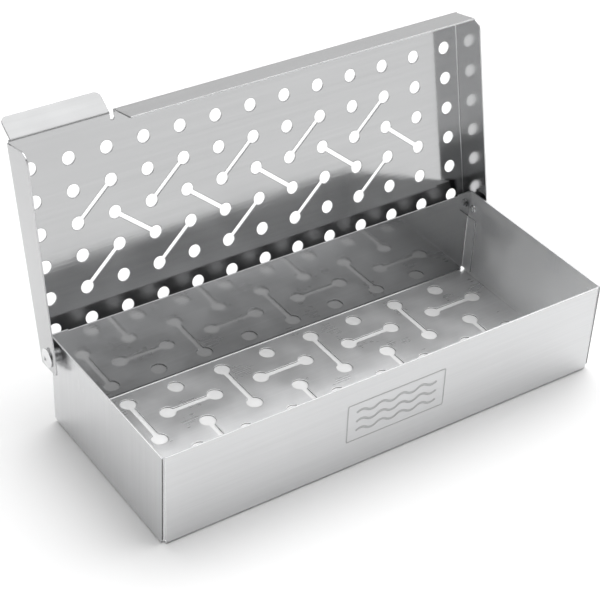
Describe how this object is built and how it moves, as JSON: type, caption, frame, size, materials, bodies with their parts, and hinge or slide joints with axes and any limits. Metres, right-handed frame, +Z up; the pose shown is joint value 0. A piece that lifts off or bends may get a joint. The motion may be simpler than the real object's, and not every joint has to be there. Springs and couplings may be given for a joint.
{
  "type": "barbecue smoker box",
  "caption": "Long open stainless steel box with a perforated floor and a perforated hinged lid standing open, which holds wood chips over a grill's burners.",
  "frame": {"origin": "middle of the tray's underside, on the surface the box stands on", "axes": "+X along the box, to the right seen from the front; +Y from the front wall to the hinge at the back; +Z up"},
  "size_m": [0.3368, 0.1861, 0.1913],
  "materials": {
    "tray_steel": "satin outside, bright inside",
    "lid_steel": "satin outside, bright inside",
    "rivet_steel": "bright drawn steel",
    "mandrel_steel": "dull drawn steel",
    "spacer_steel": "plain stamped steel"
  },
  "bodies": {
    "tray_body": {"tray": "tray_steel", "rivet_left": "rivet_steel", "rivet_right": "rivet_steel", "mandrel_left": "mandrel_steel", "mandrel_right": "mandrel_steel", "spacer_left": "spacer_steel", "spacer_right": "spacer_steel"},
    "lid_body": {"lid": "lid_steel"}
  },
  "joints": [
    {"name": "lid_hinge", "type": "hinge", "parent": "tray_body", "child": "lid_body", "pos_m": [0, 0.0616, 0.0542], "axis": [1, 0, 0], "range_deg": [0, 103.6]}
  ]
}
